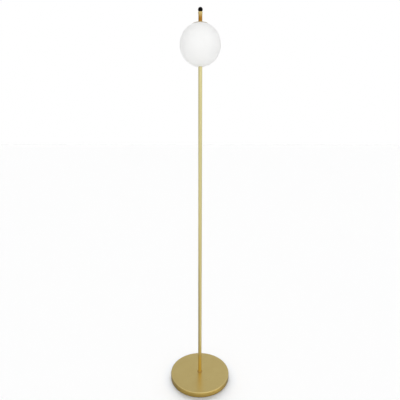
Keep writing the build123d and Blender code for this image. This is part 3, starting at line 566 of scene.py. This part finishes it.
def stud_boss():
    """Boss with a cross hole for the hoop's wire, and the core of the stud above it."""
    low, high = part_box("harp_stud")
    boss_low = low.z / MM
    boss_high = boss_low + BOSS_HEIGHT
    tip = high.z / MM
    boss = lathe_profile(
        "harp_stud_threaded",
        [
            (0, boss_low),
            (BOSS_RADIUS - BOSS_CHAMFER, boss_low),
            (BOSS_RADIUS, boss_low + BOSS_CHAMFER),
            (BOSS_RADIUS, boss_high - BOSS_CHAMFER),
            (BOSS_RADIUS - BOSS_CHAMFER, boss_high),
            (STUD_ROOT, boss_high),
            (STUD_ROOT, tip - STUD_CHAMFER),
            (STUD_ROOT - STUD_CHAMFER, tip),
            (0, tip),
        ],
    )
    turn(boss, 48)
    bpy.ops.object.select_all(action="DESELECT")
    bpy.ops.mesh.primitive_cylinder_add(
        vertices=32,
        radius=WIRE_HOLE_RADIUS * MM,
        depth=3 * BOSS_RADIUS * MM,
        location=(0, 0, (boss_low + boss_high) / 2 * MM),
        rotation=(0, radians(90), 0),
    )
    drill = bpy.context.object
    only(boss)
    hole = boss.modifiers.new("wire_hole", "BOOLEAN")
    hole.object = drill
    hole.operation = "DIFFERENCE"
    bpy.ops.object.modifier_apply(modifier=hole.name)
    bpy.data.objects.remove(drill)
    return boss


def stud_thread():
    """Ridge of the stud's thread, a profile carried round and up."""
    ridge = lathe_profile(
        "stud_thread",
        [
            (STUD_ROOT - THREAD_SINK, THREAD_START),
            (STUD_ROOT, THREAD_START + THREAD_FOOT),
            (STUD_RADIUS, THREAD_START + THREAD_FLANK),
            (STUD_RADIUS, THREAD_START + THREAD_PITCH - THREAD_FLANK),
            (STUD_ROOT, THREAD_START + THREAD_PITCH - THREAD_FOOT),
            (STUD_ROOT - THREAD_SINK, THREAD_START + THREAD_PITCH),
        ],
    )
    only(ridge)
    screw = ridge.modifiers.new("screw", "SCREW")
    screw.axis = "Z"
    screw.angle = 2 * pi
    screw.screw_offset = THREAD_PITCH * MM
    screw.iterations = THREAD_TURNS
    screw.steps = 40
    screw.render_steps = 40
    screw.use_merge_vertices = False
    bpy.ops.object.modifier_apply(modifier=screw.name)
    close_up(ridge)
    return ridge


def threaded_stud(steel):
    """The boss and the stud with a real screw thread, in the place of the plain piece."""
    boss = stud_boss()
    ridge = stud_thread()
    only(boss)
    ridge.select_set(True)
    bpy.ops.object.join()
    bpy.ops.object.shade_smooth_by_angle(angle=radians(35))
    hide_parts("harp_stud")
    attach(boss, "lamp")
    paint(boss, steel)


# ---------------------------------------------------------------- finishes on the frame's nodes
def paint(piece, material):
    piece.data.materials.clear()
    piece.data.materials.append(material)


def paint_nodes(steel):
    # painted tones: reflection on the skirt and the stem, shade on the whole collar
    base = turned_brass("base_brass", BASE_RIM, BASE_FOOT, SKIRT_REFLECTION_BAND)
    collar = turned_brass("collar_brass", COLLAR_RIM, COLLAR_FOOT, COLLAR_SHADE_BAND, MM, BRASS_SHADED)
    cap = turned_brass("cap_brass", CAP_RIM, NO_FOOT)
    stem = turned_brass("stem_brass", STEM_RIM, NO_FOOT, STEM_REFLECTION_BAND, STEM_REFLECTION_BLUR, BRASS_GOLD_REFLECTION)
    black_rubber = soft_rubber(
        "black_rubber", tone(48, 48, 49), tone(26, 26, 27), 1500.0, 0.08 * MM, 0.68
    )
    silicone = soft_rubber(
        "silicone", tone(232, 233, 230), tone(214, 215, 210), 900.0, 0.02 * MM, 0.38
    )
    nipple_steel = zinc_steel("threaded_steel", NIPPLE_THREAD_RADIUS)
    finishes = {
        base: ["base_cover"],
        tube_brass(): ["lower_tube", "middle_tube", "upper_tube"],
        collar: ["foot_collar"],
        cap: ["globe_cap"],
        stem: ["top_stem"],
        opal_glass(): ["glass_globe"],
        black_gloss(): ["finial_ball"],
        cast_iron(): ["base_weight"],
        black_rubber: ["base_pad", "cord_grommet"],
        silicone: ["tube_gasket", "globe_bush", "cap_gasket", "stem_washer"],
        wire_insulation(): ["lead_wires"],
        steatite(): ["lamp_holder", "bulb_foot"],
        moulded_plastic(): ["terminal_block"],
        frosted_envelope(): ["bulb_envelope"],
        light_board(): ["bulb_core"],
        nipple_steel: ["base_nipple", "joint_nipples", "top_nipple"],
        zinc_steel("stud_steel", BALL_STUD_THREAD_RADIUS): ["ball_stud"],
        steel: [
            "bottom_plate",
            "bottom_screws",
            "base_washer",
            "base_nut",
            "tube_bushings",
            "globe_washer",
            "globe_nut",
            "plate_nut",
            "harp_plate",
            "harp",
            "harp_nuts",
            "harp_stud",
            "holder_bridge",
            "bridge_rivets",
            "holder_screws",
            "terminal_screws",
            "bulb_pins",
        ],
    }
    for material, names in finishes.items():
        for name in names:
            paint(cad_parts[name], material)


# ---------------------------------------------------------------- studio
def make_floor():
    """Plain white floor that keeps the lamp's shadow. From below it isn't seen."""
    bpy.ops.object.select_all(action="DESELECT")
    bpy.ops.mesh.primitive_plane_add(size=FLOOR_SIZE, location=(0, 0, -FLOOR_DROP))
    floor = bpy.context.object
    floor.name = "floor"
    finish = Surface("floor_paint", Roughness=0.9)
    camera, glossy, through = finish.rays()
    x, y, _ = finish.place()
    radius = (x * x + y * y).root()

    # what metal sees dimmer
    near = 1 - radius.above(LEFT_REACH, LEFT_BLUR)
    left = x.ramp(SIDE_BLUR, -SIDE_BLUR)
    back = y.ramp(-SIDE_BLUR, SIDE_BLUR)
    right_edge = x.above(BESIDE_RIGHT, BESIDE_SIDE_BLUR) * BESIDE_RIGHT_DIM
    left_edge = (1 - x.above(BESIDE_LEFT, BESIDE_SIDE_BLUR)) * BESIDE_LEFT_DIM
    beside = (right_edge + left_edge) * (1 - radius.above(BESIDE_REACH, BESIDE_BLUR))
    dim = near * left * LEFT_DIM + back * BACK_DIM + beside

    shade = 1 - radius.above(SHADE_REACH, SHADE_BLUR)
    colour = finish.mix(camera * shade, FLOOR_PAINT, SHADE_PAINT)
    colour = finish.mix(glossy * dim, colour, BLACK)
    light = (FLOOR_GLOW, FLOOR_GLOW, FLOOR_GLOW, 1.0)
    glow = finish.mix(camera + glossy + through, BLACK, light)
    finish.set(Base_Color=colour, Specular_IOR_Level=0.0, Emission_Color=glow)
    finish.set(Emission_Strength=1.0)

    # open from below and in the hidden hole
    clear = finish.node("ShaderNodeBsdfTransparent", {})
    below = finish.node("ShaderNodeNewGeometry", {}, output="Backfacing")
    open_share = below + (1 - radius.above(FLOOR_HOLE, MM))
    painted = Value(finish, finish.shader.outputs[0])
    shown = finish.node("ShaderNodeMixShader", {}, open_share, painted, clear)
    finish.join(finish.tree.nodes["Material Output"].inputs["Surface"], shown)
    floor.data.materials.append(finish.material)
    return floor


def make_room():
    """Even white room. Metal sees it bright in front and above, and dimmer behind the lamp."""
    world = bpy.data.worlds.new("room")
    world.use_nodes = True
    bpy.context.scene.world = world
    room = Finish(world.node_tree)
    background = world.node_tree.nodes["Background"]
    camera, glossy, through = room.rays()
    x, y, z = room.parts(room.node("ShaderNodeTexCoord", {}, output="Generated"))
    front = 1 - y.above(0.0, ROOM_BLUR)
    ahead = z.ramp(0.0, ROOM_RISE).between(*ROOM_FRONT)
    mirrored = front * ahead + (1 - front) * ROOM_BACK + x * ROOM_RIGHT
    seen = camera.larger(through)
    rest = 1 - seen.larger(glossy)
    room.join(background.inputs["Strength"], seen + glossy * mirrored + rest * ROOM_LIGHT)
    background.inputs["Color"].default_value = WHITE


def make_sun(name, sun, floor, choice):
    """Wide soft light from far off, which metal doesn't mirror.

    It lights the floor alone where choice is INCLUDE, and all but the floor where it is EXCLUDE.
    """
    level, azimuth, elevation, width = sun
    data = bpy.data.lights.new(name, "SUN")
    data.energy = level
    data.angle = radians(width)
    light = bpy.data.objects.new(name, data)
    bpy.context.scene.collection.objects.link(light)
    light.rotation_euler = (radians(90 - elevation), 0, radians(azimuth))
    light.visible_glossy = False
    lit = bpy.data.collections.new(name + "_lit")
    lit.objects.link(floor)
    lit.collection_objects[0].light_linking.link_state = choice
    light.light_linking.receiver_collection = lit


def make_camera():
    data = bpy.data.cameras.new("camera")
    data.lens = CAMERA_LENS
    data.sensor_width = SENSOR_WIDTH
    camera = bpy.data.objects.new("camera", data)
    bpy.context.scene.collection.objects.link(camera)
    camera.location = CAMERA_PLACE
    camera.rotation_euler = (radians(90 - CAMERA_TILT), radians(CAMERA_ROLL), 0)
    bpy.context.scene.camera = camera


plated_steel = zinc_steel("zinc_steel")
paint_nodes(plated_steel)
threaded_stud(plated_steel)
studio_floor = make_floor()
make_room()
make_sun("front_light", FRONT_SUN, studio_floor, "EXCLUDE")
make_sun("back_light", BACK_SUN, studio_floor, "EXCLUDE")
make_sun("floor_light", FLOOR_SUN, studio_floor, "INCLUDE")
make_camera()
bpy.context.scene.view_settings.view_transform = "Standard"
